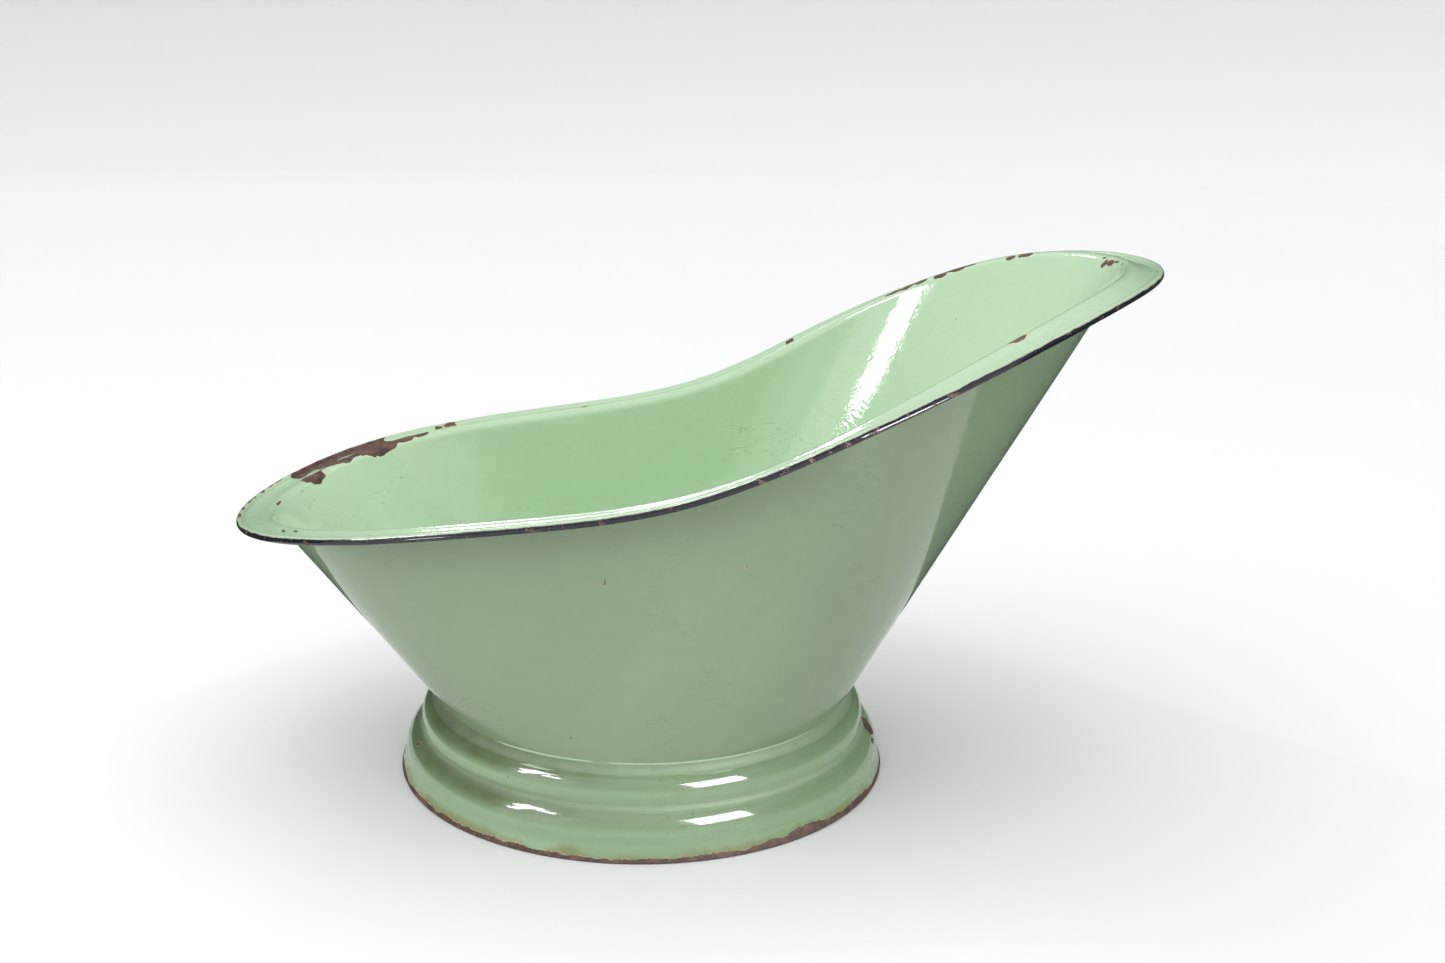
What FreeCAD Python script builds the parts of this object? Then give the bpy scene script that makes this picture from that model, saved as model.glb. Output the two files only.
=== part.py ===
import FreeCAD, Part
import math
import os
import Sketcher
from FreeCAD import Placement, Rotation, Vector

# Enamelled sheet-steel hip bath: a flared oval tub with a high back, on a round stepped foot.
# Frame: origin on the floor at the centre of the foot, +Z up, +X towards the high back,
# and the bath is symmetric about the XZ plane. All sizes are in millimetres.

doc = FreeCAD.newDocument("hip_bath")

# ---------------------------------------------------------------- driving dimensions

SIZES = [
    # foot: two rolls above a flare, spun from one sheet
    ("foot_gauge", 1.6),
    ("foot_radius", 220),
    ("flare_height", 12),
    ("hem_height", 7),
    ("hem_lean", 3),
    ("lower_face_radius", 214),
    ("lower_face_top", 19.5),
    ("lower_roll_bend", 21),
    ("ledge_height", 38.5),
    ("upper_face_radius", 200),
    ("upper_face_top", 49),
    ("upper_roll_bend", 16),
    ("seat_inner_radius", 168),
    # tub: sheet gauge with its enamel, and the dished bottom
    ("tub_gauge", 1.4),
    ("bottom_corner_bend", 8),
    ("bottom_land_inner", 166),
    ("bottom_dish", 5),
    ("neck_radius", 186),
    ("neck_turn_share", 0.2),
    # rim: flange turned out of the wall, edge rolled round a wire
    ("flange_width", 27.4),
    ("flange_slope", 10.5),
    ("flange_bend", 8),
    ("bead_radius", 3.3),
    ("bead_lift", 1),
    ("wire_radius", 1.9),
    # stations of the rim line, where the wall's and the flange's directions cross
    ("back_x", 405), ("back_z", 463),
    ("back_corner_x", 335), ("back_corner_y", 152), ("back_corner_z", 447),
    ("back_shoulder_x", 204), ("back_shoulder_y", 223), ("back_shoulder_z", 386),
    ("arm_x", 58), ("arm_y", 208), ("arm_z", 311),
    ("front_shoulder_x", -103), ("front_shoulder_y", 188), ("front_shoulder_z", 277),
    ("front_corner_x", -258), ("front_corner_y", 143), ("front_corner_z", 251),
    ("front_x", -326), ("front_z", 232),
]

sheet = doc.addObject("Spreadsheet::Sheet", "Sizes")
for row, (alias, value) in enumerate(SIZES, start=1):
    sheet.set("A%d" % row, alias)
    sheet.set("B%d" % row, str(value))
    sheet.setAlias("B%d" % row, alias)
doc.recompute()


def size(alias):
    return float(getattr(sheet, alias))


# ---------------------------------------------------------------- sketch helpers

POINT_START, POINT_END, POINT_CENTRE = 1, 2, 3


class Profile:
    """A half section in the XZ plane of its body: sketch X is the radius and sketch Y is the height."""

    def __init__(self, label):
        self.body = doc.addObject("PartDesign::Body", label)
        self.body.Label = label
        self.sketch = self.body.newObject("Sketcher::SketchObject", label + "_section")
        plane = [o for o in self.body.Origin.OriginFeatures if o.Role == "XZ_Plane"][0]
        self.sketch.AttachmentSupport = [(plane, "")]
        self.sketch.MapMode = "FlatFace"

    def line(self, start, end):
        segment = Part.LineSegment(Vector(*start, 0), Vector(*end, 0))
        return self.sketch.addGeometry(segment, False)

    def arc(self, centre, radius, start_angle, end_angle):
        circle = Part.Circle(Vector(*centre, 0), Vector(0, 0, 1), radius)
        curve = Part.ArcOfCircle(circle, math.radians(start_angle), math.radians(end_angle))
        return self.sketch.addGeometry(curve, False)

    def join(self, one, one_end, other, other_end):
        self.sketch.addConstraint(Sketcher.Constraint("Coincident", one, one_end, other, other_end))

    def level(self, *lines):
        for line in lines:
            self.sketch.addConstraint(Sketcher.Constraint("Horizontal", line))

    def plumb(self, *lines):
        for line in lines:
            self.sketch.addConstraint(Sketcher.Constraint("Vertical", line))

    def bind(self, kind, name, expression, *where):
        """Adds a named dimension and drives it from the sheet."""
        value = abs(self.value(kind, *where))
        index = self.sketch.addConstraint(Sketcher.Constraint(kind, *where, value))
        self.sketch.renameConstraint(index, name)
        self.sketch.setExpression("Constraints." + name, expression)

    def value(self, kind, *where):
        """The dimension as the geometry is first drawn."""
        if kind == "Radius":
            return self.sketch.Geometry[where[0]].Radius
        point = self.sketch.getPoint(where[-2], where[-1])
        return point.x if kind == "DistanceX" else point.y

    def at_radius(self, name, expression, geometry, end):
        self.bind("DistanceX", name, expression, -1, POINT_START, geometry, end)

    def at_height(self, name, expression, geometry, end):
        self.bind("DistanceY", name, expression, -1, POINT_START, geometry, end)

    def revolve(self):
        turn = self.body.newObject("PartDesign::Revolution", self.body.Label + "_turned")
        turn.Profile = self.sketch
        turn.ReferenceAxis = (self.sketch, ["V_Axis"])
        turn.Angle = 360
        self.body.Tip = turn
        self.sketch.Visibility = False
        return self.body


# ---------------------------------------------------------------- foot ring

def foot_ring():
    """One sheet: flare, lower roll, ledge, upper roll, and the level seat that the tub stands on."""
    gauge = size("foot_gauge")
    lower_face, lower_top = size("lower_face_radius"), size("lower_face_top")
    upper_face, upper_top = size("upper_face_radius"), size("upper_face_top")
    lower_bend, upper_bend = size("lower_roll_bend"), size("upper_roll_bend")
    lower_centre = (lower_face - lower_bend, lower_top)
    upper_centre = (upper_face - upper_bend, upper_top)
    ledge, flare = size("ledge_height"), size("flare_height")
    foot, hem, lean = size("foot_radius"), size("hem_height"), size("hem_lean")
    seat = upper_top + upper_bend
    seat_inner = size("seat_inner_radius")

    p = Profile("foot_ring")
    sheets = []
    # the outer and the inner face of the sheet, each drawn upwards from the flare to the seat
    for name, inset in (("outer", 0.0), ("inner", gauge)):
        bend = lower_bend - inset
        ledge_z = ledge - inset
        angle = math.degrees(math.asin((ledge_z - lower_top) / bend))
        crease = lower_centre[0] + bend * math.cos(math.radians(angle))
        edge = (foot, 0) if inset == 0 else (foot - inset - lean, hem)
        flare_line = p.line(edge, (lower_face - inset, flare))
        face_low = p.line((lower_face - inset, flare), (lower_face - inset, lower_top))
        roll_low = p.arc(lower_centre, bend, 0, angle)
        ledge_line = p.line((crease, ledge_z), (upper_face - inset, ledge_z))
        face_high = p.line((upper_face - inset, ledge_z), (upper_face - inset, upper_top))
        roll_high = p.arc(upper_centre, upper_bend - inset, 0, 90)
        seat_line = p.line((upper_centre[0], seat - inset), (seat_inner, seat - inset))
        p.join(flare_line, POINT_END, face_low, POINT_START)
        p.join(face_low, POINT_END, roll_low, POINT_START)
        p.join(roll_low, POINT_END, ledge_line, POINT_START)
        p.join(ledge_line, POINT_END, face_high, POINT_START)
        p.join(face_high, POINT_END, roll_high, POINT_START)
        p.join(roll_high, POINT_END, seat_line, POINT_START)
        p.plumb(face_low, face_high)
        p.level(ledge_line, seat_line)
        inset_text = "" if inset == 0 else " - Sizes.foot_gauge"
        p.at_radius(name + "_lower_face", "Sizes.lower_face_radius" + inset_text, face_low, POINT_START)
        p.at_height(name + "_flare_top", "Sizes.flare_height", face_low, POINT_START)
        p.at_height(name + "_lower_top", "Sizes.lower_face_top", roll_low, POINT_CENTRE)
        p.at_height(name + "_lower_tangent", "Sizes.lower_face_top", face_low, POINT_END)
        p.bind("Radius", name + "_lower_bend", "Sizes.lower_roll_bend" + inset_text, roll_low)
        p.at_height(name + "_ledge", "Sizes.ledge_height" + inset_text, roll_low, POINT_END)
        p.at_radius(name + "_upper_face", "Sizes.upper_face_radius" + inset_text, face_high, POINT_START)
        p.at_height(name + "_upper_top", "Sizes.upper_face_top", roll_high, POINT_CENTRE)
        p.at_height(name + "_upper_tangent", "Sizes.upper_face_top", face_high, POINT_END)
        p.bind("Radius", name + "_upper_bend", "Sizes.upper_roll_bend" + inset_text, roll_high)
        p.at_radius(name + "_seat", "Sizes.seat_inner_radius", seat_line, POINT_END)
        centre_radius = "Sizes.upper_face_radius - Sizes.upper_roll_bend"
        p.at_radius(name + "_roll_end", centre_radius, roll_high, POINT_END)
        sheets.append((flare_line, seat_line))

    (outer_flare, outer_seat), (inner_flare, inner_seat) = sheets
    # the flare's lower edge is folded back inside it as a hem, and stands on the floor;
    # the hem is plumb inside, as far in as the flare leans over the hem's height
    hem_inner = foot - 2 * gauge - lean
    rest = p.line((foot, 0), (hem_inner, 0))
    hem_face = p.line((hem_inner, 0), (hem_inner, hem))
    hem_top = p.line((hem_inner, hem), (foot - gauge - lean, hem))
    lip = p.line((seat_inner, seat), (seat_inner, seat - gauge))
    p.join(rest, POINT_START, outer_flare, POINT_START)
    p.join(rest, POINT_END, hem_face, POINT_START)
    p.join(hem_face, POINT_END, hem_top, POINT_START)
    p.join(hem_top, POINT_END, inner_flare, POINT_START)
    p.join(lip, POINT_START, outer_seat, POINT_END)
    p.join(lip, POINT_END, inner_seat, POINT_END)
    p.level(rest, hem_top)
    p.plumb(hem_face)
    p.at_radius("foot_edge", "Sizes.foot_radius", rest, POINT_START)
    p.sketch.addConstraint(Sketcher.Constraint("PointOnObject", rest, POINT_START, -1))
    hem_text = "Sizes.foot_radius - Sizes.foot_gauge - Sizes.hem_lean"
    p.at_radius("hem_inside", hem_text + " - Sizes.foot_gauge", hem_face, POINT_START)
    p.at_height("hem_height", "Sizes.hem_height", hem_face, POINT_END)
    p.at_radius("hem_fold", hem_text, inner_flare, POINT_START)
    return p.revolve()


# ---------------------------------------------------------------- tub bottom

def tub_bottom():
    """The pressed pan that closes the tub: a shallow dish, a level land and a rounded corner."""
    gauge, bend = size("tub_gauge"), size("bottom_corner_bend")
    neck, dish = size("neck_radius"), size("bottom_dish")
    seat = size("upper_face_top") + size("upper_roll_bend")
    land = size("bottom_land_inner")
    dish_radius = (land ** 2 + dish ** 2) / (2 * dish)
    seat_text = "Sizes.upper_face_top + Sizes.upper_roll_bend"

    p = Profile("tub_bottom")
    faces = []
    for name, rise in (("under", 0.0), ("upper", gauge)):
        dish_centre = (0, seat - dish + dish_radius)
        end_angle = -90 + math.degrees(math.asin(land / dish_radius))
        dish_arc = p.arc((dish_centre[0], dish_centre[1] + rise), dish_radius, -90, end_angle)
        land_line = p.line((land, seat + rise), (neck - bend, seat + rise))
        corner = p.arc((neck - bend, seat + bend), bend - rise, -90, 0)
        p.join(dish_arc, POINT_END, land_line, POINT_START)
        p.join(land_line, POINT_END, corner, POINT_START)
        p.level(land_line)
        rise_text = "" if rise == 0 else " + Sizes.tub_gauge"
        p.at_height(name + "_land", seat_text + rise_text, land_line, POINT_START)
        p.at_radius(name + "_land_inner", "Sizes.bottom_land_inner", land_line, POINT_START)
        p.at_radius(name + "_corner_x", "Sizes.neck_radius - Sizes.bottom_corner_bend",
                    corner, POINT_CENTRE)
        p.at_height(name + "_corner_z", seat_text + " + Sizes.bottom_corner_bend",
                    corner, POINT_CENTRE)
        p.at_radius(name + "_corner_start", "Sizes.neck_radius - Sizes.bottom_corner_bend",
                    land_line, POINT_END)
        p.at_height(name + "_corner_end", seat_text + " + Sizes.bottom_corner_bend",
                    corner, POINT_END)
        p.sketch.addConstraint(Sketcher.Constraint("PointOnObject", dish_arc, POINT_START, -2))
        p.sketch.addConstraint(Sketcher.Constraint("PointOnObject", dish_arc, POINT_CENTRE, -2))
        p.at_height(name + "_dish", seat_text + " - Sizes.bottom_dish" + rise_text,
                    dish_arc, POINT_START)
        faces.append((dish_arc, corner))

    (under_dish, under_corner), (upper_dish, upper_corner) = faces
    axis = p.line((0, seat - dish), (0, seat - dish + gauge))
    edge = p.line((neck, seat + bend), (neck - gauge, seat + bend))
    p.join(axis, POINT_START, under_dish, POINT_START)
    p.join(axis, POINT_END, upper_dish, POINT_START)
    p.join(edge, POINT_START, under_corner, POINT_END)
    p.join(edge, POINT_END, upper_corner, POINT_END)
    return p.revolve()


# ---------------------------------------------------------------- rim line and rails

RAIL_POINTS = 72          # sections around the tub
BEND_STEPS = 4            # rails across the bend between the wall and the flange
CURL_STEPS = 10           # rails around the rolled edge
WIRE_RAILS = 12           # rails around the wire


class RimLine:
    """The closed curve where the wall's and the flange's directions cross."""

    def __init__(self):
        names = ("back_corner", "back_shoulder", "arm", "front_shoulder", "front_corner")
        side = [Vector(size(n + "_x"), size(n + "_y"), size(n + "_z")) for n in names]
        other_side = [Vector(p.x, -p.y, p.z) for p in reversed(side)]
        back = Vector(size("back_x"), 0, size("back_z"))
        front = Vector(size("front_x"), 0, size("front_z"))
        # the spline runs on past both ends of the half that is used, so that it crosses the
        # plane of symmetry square and smooth, and the other half mirrors that one
        self.spline = Part.BSplineCurve()
        self.spline.interpolate(Points=other_side + [back] + side + [front] + other_side)
        self.start, self.end = self.spline.parameter(back), self.spline.parameter(front)

    def at(self, share):
        """The point and the unit direction at a share of the way round, from the back by +Y."""
        mirrored = share > 0.5
        way = 2 * (1 - share) if mirrored else 2 * share
        parameter = self.start + way * (self.end - self.start)
        point = self.spline.value(parameter)
        along = self.spline.tangent(parameter)[0].normalize()
        if mirrored:
            point, along = Vector(point.x, -point.y, point.z), Vector(-along.x, along.y, -along.z)
        return point, along


class Section:
    """The sheet's section at one place on the rim line, in the plane across the line."""

    def __init__(self, line, share):
        rim, along = line.at(share)
        outward = Vector(along.y, -along.x, 0).normalize()
        neck_middle = size("neck_radius") - size("tub_gauge") / 2
        # the wall runs down to the place on the round neck that faces nearly the same way,
        # turned a little towards the rim's own bearing so that the slight waist doesn't fold it
        bearing = Vector(rim.x, rim.y, 0).normalize()
        turn = size("neck_turn_share")
        self.neck_direction = (outward * (1 - turn) + bearing * turn).normalize()
        # the wall starts where the bottom's rounded corner ends
        self.neck_height = (size("upper_face_top") + size("upper_roll_bend")
                            + size("bottom_corner_bend"))
        neck = self.neck_direction * neck_middle + Vector(0, 0, self.neck_height)

        # the wall's direction up the section, and the flange's direction out of it
        wall = rim - neck
        self.wall = (wall - along * wall.dot(along)).normalize()
        upright = outward.cross(along)
        if upright.z < 0:
            upright = upright * -1
        slope = math.radians(size("flange_slope"))
        self.flange = (outward * math.cos(slope) - upright * math.sin(slope)).normalize()
        self.flange_up = (upright * math.cos(slope) + outward * math.sin(slope)).normalize()

        # the bend is an arc that is tangent to both
        self.turn = self.wall.getAngle(self.flange)
        self.inside = (self.flange - self.wall * self.flange.dot(self.wall)).normalize()
        bend = size("flange_bend")
        setback = bend * math.tan(self.turn / 2)
        self.bend_start = rim - self.wall * setback
        self.bend_centre = self.bend_start + self.inside * bend
        self.flange_start = rim + self.flange * setback
        self.bead_centre = (rim + self.flange * size("flange_width")
                            + self.flange_up * size("bead_lift"))

    def neck_point(self, side):
        """side is +1 on the inner and upper face of the sheet, and -1 on the outer face."""
        radius = size("neck_radius") - size("tub_gauge") * (1 + side) / 2
        return self.neck_direction * radius + Vector(0, 0, self.neck_height)

    def bend_point(self, side, share):
        radius = size("flange_bend") + side * size("tub_gauge") / 2
        angle = share * self.turn
        return (self.bend_centre - self.inside * (radius * math.cos(angle))
                + self.wall * (radius * math.sin(angle)))

    def curl_point(self, share):
        """Round the rolled edge, from the flange's upper face over the top to its under face."""
        half_gauge, lift, bead = size("tub_gauge") / 2, size("bead_lift"), size("bead_radius")
        first = math.pi - math.asin((half_gauge - lift) / bead)
        last = -math.pi + math.asin((half_gauge + lift) / bead)
        angle = first + share * (last - first)
        return (self.bead_centre + self.flange * (bead * math.cos(angle))
                + self.flange_up * (bead * math.sin(angle)))

    def wire_point(self, turn):
        radius = size("wire_radius")
        return (self.bead_centre + self.flange * (radius * math.cos(turn))
                + self.flange_up * (radius * math.sin(turn)))


def rail(points):
    """A closed smooth wire through one point of every section."""
    curve = Part.BSplineCurve()
    steps = [i / len(points) for i in range(len(points) + 1)]
    curve.interpolate(Points=points, PeriodicFlag=True, Parameters=steps)
    return Part.Wire([curve.toShape()])


def skin(rails):
    """The faces through a run of rails: straight across two of them, and smooth across more."""
    if len(rails) == 2:
        return [Part.makeRuledSurface(rails[0].Edges[0], rails[1].Edges[0])]
    return Part.makeLoft(rails, False, False).Faces


def rim_sections():
    """Sections all the way round the tub, evenly spaced along the rim line's parameter."""
    line = RimLine()
    return [Section(line, i / RAIL_POINTS) for i in range(RAIL_POINTS)]


sections = rim_sections()


def rail_of(point_of):
    return rail([point_of(section) for section in sections])


# ---------------------------------------------------------------- rim wire

def rim_wire():
    """The steel wire that the rim's edge is rolled round, closed into one ring."""
    turns = [2 * math.pi * i / WIRE_RAILS for i in range(WIRE_RAILS)]
    rails = [rail_of(lambda s, turn=turn: s.wire_point(turn)) for turn in turns]
    closed_round = True
    tube = Part.makeLoft(rails, False, False, closed_round)
    wire = doc.addObject("Part::Feature", "rim_wire")
    wire.Label = "rim_wire"
    wire.Shape = Part.makeSolid(Part.makeShell(tube.Faces))
    wire.Placement = Placement(Vector(0, 0, 0), Rotation())
    return wire


# ---------------------------------------------------------------- tub wall

def tub_wall(wire):
    """Wall, flange and rolled edge in one sheet: ruled from the round neck up to the bend."""
    inner_neck = rail_of(lambda s: s.neck_point(1))
    outer_neck = rail_of(lambda s: s.neck_point(-1))
    shares = [i / BEND_STEPS for i in range(BEND_STEPS + 1)]
    inner_bend = [rail_of(lambda s, k=k: s.bend_point(1, k)) for k in shares]
    outer_bend = [rail_of(lambda s, k=k: s.bend_point(-1, k)) for k in shares]
    turns = [i / CURL_STEPS for i in range(CURL_STEPS + 1)]
    curl = [rail_of(lambda s, k=k: s.curl_point(k)) for k in turns]

    faces = skin([inner_neck, inner_bend[0]])
    faces += skin(inner_bend)
    faces += skin([inner_bend[-1], curl[0]])
    faces += skin(curl)
    faces += skin([curl[-1], outer_bend[-1]])
    faces += skin(outer_bend)
    faces += skin([outer_bend[0], outer_neck])
    faces += skin([outer_neck, inner_neck])
    shell = Part.makeShell(faces)
    shell.sewShape()
    solid = Part.makeSolid(shell)
    if solid.Volume < 0:
        solid.reverse()
    wall = doc.addObject("Part::Feature", "tub_wall")
    wall.Label = "tub_wall"
    wall.Shape = solid.cut(wire.Shape)
    wall.Placement = Placement(Vector(0, 0, 0), Rotation())
    return wall


# ---------------------------------------------------------------- build, check and write

wire = rim_wire()
parts = [foot_ring(), tub_bottom(), wire, tub_wall(wire)]
doc.recompute()

for item in doc.Objects:
    if "Invalid" in item.State or "Error" in item.State:
        raise RuntimeError("%s failed: %s" % (item.Name, item.State))
for part in parts:
    if part.Shape.isNull() or not part.Shape.isValid():
        raise RuntimeError("%s has no valid shape" % part.Label)

os.makedirs("parts", exist_ok=True)
for part in parts:
    part.Shape.exportStep("parts/%s.step" % part.Label)
    box = part.Shape.BoundBox
    print("%-12s solids %d  volume %.0f mm3  x %.1f..%.1f  y %.1f..%.1f  z %.1f..%.1f" % (
        part.Label, len(part.Shape.Solids), part.Shape.Volume,
        box.XMin, box.XMax, box.YMin, box.YMax, box.ZMin, box.ZMax))
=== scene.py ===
import math

import bpy
import numpy as np
from mathutils import Matrix, Vector, noise


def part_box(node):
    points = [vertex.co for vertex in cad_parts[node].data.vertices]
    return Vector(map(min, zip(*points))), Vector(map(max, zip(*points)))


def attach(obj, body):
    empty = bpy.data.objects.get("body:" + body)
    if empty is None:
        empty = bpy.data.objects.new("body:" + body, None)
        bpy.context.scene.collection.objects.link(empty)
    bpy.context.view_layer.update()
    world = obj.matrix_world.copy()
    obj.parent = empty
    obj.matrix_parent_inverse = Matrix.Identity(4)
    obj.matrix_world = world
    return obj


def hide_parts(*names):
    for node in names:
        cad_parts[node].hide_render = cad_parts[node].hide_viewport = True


# Enamelled sheet-steel hip bath. Everything is in metres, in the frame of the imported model:
# origin on the floor at the centre of the foot, +Z up, +X towards the high back.

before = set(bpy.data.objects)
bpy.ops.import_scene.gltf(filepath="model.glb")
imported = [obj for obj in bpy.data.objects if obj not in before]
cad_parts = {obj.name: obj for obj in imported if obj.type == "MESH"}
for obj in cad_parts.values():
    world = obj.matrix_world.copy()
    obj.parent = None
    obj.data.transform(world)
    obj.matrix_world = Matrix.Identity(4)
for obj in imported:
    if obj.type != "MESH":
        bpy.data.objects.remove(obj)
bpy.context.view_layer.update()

MM = 0.001

# ---------------------------------------------------------------- sizes of the sheet's section

TUB_GAUGE = 1.4 * MM
FLANGE_WIDTH = 27.4 * MM           # from the rim line to the centre of the rolled edge
FLANGE_SLOPE = math.radians(10.5)
FLANGE_BEND = 8 * MM
BEAD_RADIUS = 3.3 * MM
BEAD_LIFT = 1 * MM
NECK_TURN_SHARE = 0.2
ENAMEL = 0.35 * MM                 # how deep a chip lies below the enamel's surface
CHIP_SLOPE = (-1 * MM, 1.2 * MM)   # a chip's wall lies between these distances inside its outline

foot_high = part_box("foot_ring")[1]
pan_low, pan_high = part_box("tub_bottom")
wall_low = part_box("tub_wall")[0]
NECK_RADIUS = pan_high.x
NECK_HEIGHT = wall_low.z
SEAT_HEIGHT = foot_high.z
FOOT_RADIUS = foot_high.x


# ---------------------------------------------------------------- helpers

SHARP_FROM = 50                    # degrees: edges that turn more than this stay crisp


def unit(vectors):
    return vectors / np.linalg.norm(vectors, axis=-1, keepdims=True)


def dot(a, b):
    return (a * b).sum(axis=-1)[:, None]


def waves(points, wavelength, seed):
    """Smooth noise from about -1 to 1 at each point."""
    shift = Vector((seed * 3.7, seed * 1.9, seed * 5.3))
    return np.array([noise.noise(Vector(p) / wavelength + shift) for p in points])


def smooth_step(low, high, values):
    share = np.clip((values - low) / (high - low), 0, 1)
    return share * share * (3 - 2 * share)


def ring_mesh(name, rows, closed_section, fields):
    """A smooth mesh from rows of points that each go once round the object, outer face upwards.
    An open section is closed at the middle of its first and last rows."""
    count, around = len(rows), len(rows[0])
    points = np.concatenate(rows).tolist()
    index = np.arange(count * around).reshape(count, around)
    lower = index if closed_section else index[:-1]
    upper = np.roll(index, -1, axis=0) if closed_section else index[1:]
    quads = np.stack([lower, np.roll(lower, -1, axis=1), np.roll(upper, -1, axis=1), upper], axis=-1)
    faces = quads.reshape(-1, 4).tolist()
    if not closed_section:
        first, last = index[0], index[-1]
        points += [rows[0].mean(axis=0).tolist(), rows[-1].mean(axis=0).tolist()]
        below, above = count * around, count * around + 1
        faces += [(below, b, a) for a, b in zip(first.tolist(), np.roll(first, -1).tolist())]
        faces += [(above, a, b) for a, b in zip(last.tolist(), np.roll(last, -1).tolist())]
    mesh = bpy.data.meshes.new(name)
    mesh.from_pydata(points, [], faces)
    mesh.polygons.foreach_set("use_smooth", [True] * len(mesh.polygons))
    mesh.set_sharp_from_angle(angle=math.radians(SHARP_FROM))
    for field, values in fields.items():
        attribute = mesh.attributes.new(field, "FLOAT", "POINT")
        padded = np.zeros(len(points), np.float32)
        padded[:len(values)] = values
        attribute.data.foreach_set("value", padded)
    piece = bpy.data.objects.new(name, mesh)
    bpy.context.scene.collection.objects.link(piece)
    return piece


def section_normals(rows):
    """Outward normals of a closed section's rows, from central differences."""
    grid = np.stack(rows)
    around = np.roll(grid, -1, axis=1) - np.roll(grid, 1, axis=1)
    across = np.roll(grid, -1, axis=0) - np.roll(grid, 1, axis=0)
    return unit(np.cross(around, across)).reshape(-1, 3)


# ---------------------------------------------------------------- rim line, measured from the frame

AROUND_TUB = 720
RIM_HARMONICS = 14
DENSE = 4096
AIM_ROUNDS = 6                     # the rim line and the flange's directions settle in this many


def node_points(node):
    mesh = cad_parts[node].data
    points = np.empty(3 * len(mesh.vertices))
    mesh.vertices.foreach_get("co", points)
    return points.reshape(-1, 3)


def bead_line():
    """The rolled edge's centre line: a cosine series through the points of the rim wire."""
    points = node_points("rim_wire")
    middle = (points[:, 0].min() + points[:, 0].max()) / 2
    angles = np.arctan2(points[:, 1], points[:, 0] - middle)
    terms = np.cos(np.outer(angles, np.arange(RIM_HARMONICS)))
    reach = np.hypot(points[:, 0] - middle, points[:, 1])
    radius = np.linalg.lstsq(terms, reach, rcond=None)[0]
    height = np.linalg.lstsq(terms, points[:, 2], rcond=None)[0]

    def at(angle):
        terms = np.cos(np.outer(angle, np.arange(RIM_HARMONICS)))
        r = terms @ radius
        return np.stack([middle + r * np.cos(angle), r * np.sin(angle), terms @ height], axis=1)

    # stations evenly spaced along the edge
    dense = np.linspace(0, 2 * math.pi, DENSE + 1)
    steps = np.linalg.norm(np.diff(at(dense), axis=0), axis=1)
    length = np.concatenate([[0], np.cumsum(steps)])
    wanted = np.arange(AROUND_TUB) / AROUND_TUB * length[-1]
    angle = np.interp(wanted, length, dense)
    return at(angle), np.degrees(angle), wanted


class RimFrames:
    """At each station: the rim line's point, and the directions of the wall and of the flange."""

    def __init__(self):
        self.bead, self.angle, self.travel = bead_line()
        self.length = self.travel[1] * AROUND_TUB
        self.rim = self.bead
        for _ in range(AIM_ROUNDS):
            self.aim()
            self.rim = self.bead - self.flange * FLANGE_WIDTH - self.up * BEAD_LIFT
        self.aim()
        bearing = unit(self.rim * [1, 1, 0])
        self.facing = unit(self.outward * (1 - NECK_TURN_SHARE) + bearing * NECK_TURN_SHARE)
        neck = self.neck_point(0)
        wall = self.rim - neck
        self.wall = unit(wall - self.along * dot(wall, self.along))
        self.turn = np.arccos(np.clip(dot(self.wall, self.flange), -1, 1))
        self.inside = unit(self.flange - self.wall * dot(self.flange, self.wall))
        self.setback = FLANGE_BEND * np.tan(self.turn / 2)
        self.bend_centre = self.rim - self.wall * self.setback + self.inside * FLANGE_BEND

    def aim(self):
        self.along = unit(np.roll(self.rim, -1, axis=0) - np.roll(self.rim, 1, axis=0))
        x, y = self.along[:, 0], self.along[:, 1]
        self.outward = unit(np.stack([y, -x, 0 * x], axis=1))
        upright = unit(np.cross(self.along, self.outward))
        upright *= np.sign(upright[:, 2:3])
        cosine, sine = math.cos(FLANGE_SLOPE), math.sin(FLANGE_SLOPE)
        self.flange = self.outward * cosine - upright * sine
        self.up = upright * cosine + self.outward * sine

    def neck_point(self, side):
        """side is +1 on the inner face of the sheet, -1 on the outer face and 0 between them."""
        radius = NECK_RADIUS - TUB_GAUGE * (1 + side) / 2
        return self.facing * radius + [0, 0, NECK_HEIGHT]

    def bend_point(self, side, share):
        radius = FLANGE_BEND + side * TUB_GAUGE / 2
        angle = share * self.turn
        turned = self.wall * np.sin(angle) - self.inside * np.cos(angle)
        return self.bend_centre + radius * turned

    def bead_point(self, angle):
        return self.bead + BEAD_RADIUS * (self.flange * math.cos(angle) + self.up * math.sin(angle))


# ---------------------------------------------------------------- marks of wear on the enamel

FAR = -99 * MM                     # a field value well away from any mark


class Chip:
    """A patch where the enamel has gone. Its place is an angle round the rim from the high back,
    over the far side, and a distance across the sheet from the bend: out over the flange is
    positive, and down the wall is negative."""

    def __init__(self, angle, across, length, width, lean=0.0, keep=False):
        self.angle, self.across = angle, across * MM
        self.length, self.width = length * MM / 2, width * MM / 2
        self.lean, self.keep = lean, keep

    def depth(self, rim_frames, travel, across, wobble):
        """How far each point lies inside the patch's outline, in metres. Outside is negative."""
        centre = np.interp(self.angle, rim_frames.angle, rim_frames.travel)
        along = (travel - centre + rim_frames.length / 2) % rim_frames.length - rim_frames.length / 2
        aside = across - self.across - self.lean * along
        scale = min(self.length, self.width)
        reach = np.hypot(along / self.length, aside / self.width)
        return (1 - reach) * scale + wobble * min(1.8, scale / (4 * MM))


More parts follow.
